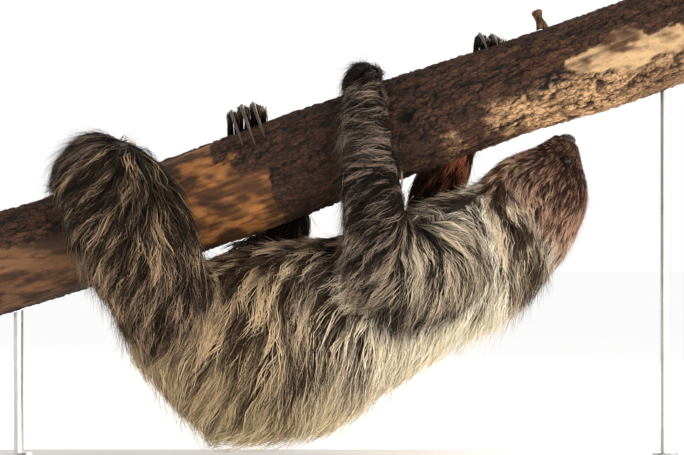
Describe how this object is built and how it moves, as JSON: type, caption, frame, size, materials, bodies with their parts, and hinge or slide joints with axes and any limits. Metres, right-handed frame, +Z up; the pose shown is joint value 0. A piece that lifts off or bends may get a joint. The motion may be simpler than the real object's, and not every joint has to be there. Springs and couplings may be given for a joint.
{
  "type": "two-toed sloth",
  "caption": "Life-size two-toed sloth hanging belly up under a slanting cut branch by its hands and feet, head to one side and muzzle raised, on a flat base with rods.",
  "frame": {"origin": "middle of the underside of the stand's base, on the floor", "axes": "+X towards the head end, +Y to the animal's right side, +Z up"},
  "size_m": [0.92, 0.36, 0.6042],
  "materials": {
    "body_coat": "long shaggy fur, cream and tan locks over a dark brown undercoat",
    "limb_coat": "long coarse fur, dark brown with tan strands",
    "face_coat": "short close fur, brown with a reddish crown",
    "bare_skin": "dark damp hairless nose skin",
    "claw_horn": "dark horn, semi-gloss, paler at the tip",
    "eye": "dark brown wet eye",
    "perch_wood": "fissured brown bark with bare orange-brown and cream wood patches",
    "stand_metal": "satin steel rod",
    "stand_paint": "satin off-white paint on board"
  },
  "bodies": {
    "root": {"claw_foot_left_1": "claw_horn", "claw_foot_left_2": "claw_horn", "claw_foot_left_3": "claw_horn", "claw_foot_right_1": "claw_horn", "claw_foot_right_2": "claw_horn", "claw_foot_right_3": "claw_horn", "claw_hand_left_1": "claw_horn", "claw_hand_left_2": "claw_horn", "claw_hand_right_1": "claw_horn", "claw_hand_right_2": "claw_horn", "ear_left": "face_coat", "ear_right": "face_coat", "eye_left": "eye", "eye_right": "eye", "foot_left": "limb_coat", "foot_right": "limb_coat", "forearm_left": "limb_coat", "forearm_right": "limb_coat", "hand_left": "limb_coat", "hand_right": "limb_coat", "head": "face_coat", "muzzle": "face_coat", "neck": "body_coat", "nose": "bare_skin", "perch": "perch_wood", "perch_twig": "perch_wood", "shank_left": "limb_coat", "shank_right": "limb_coat", "stand_base": "stand_paint", "stand_collar_left": "stand_metal", "stand_collar_right": "stand_metal", "stand_rod_left": "stand_metal", "stand_rod_right": "stand_metal", "thigh_left": "limb_coat", "thigh_right": "limb_coat", "trunk": "body_coat", "upper_arm_left": "limb_coat", "upper_arm_right": "limb_coat"}
  },
  "joints": []
}
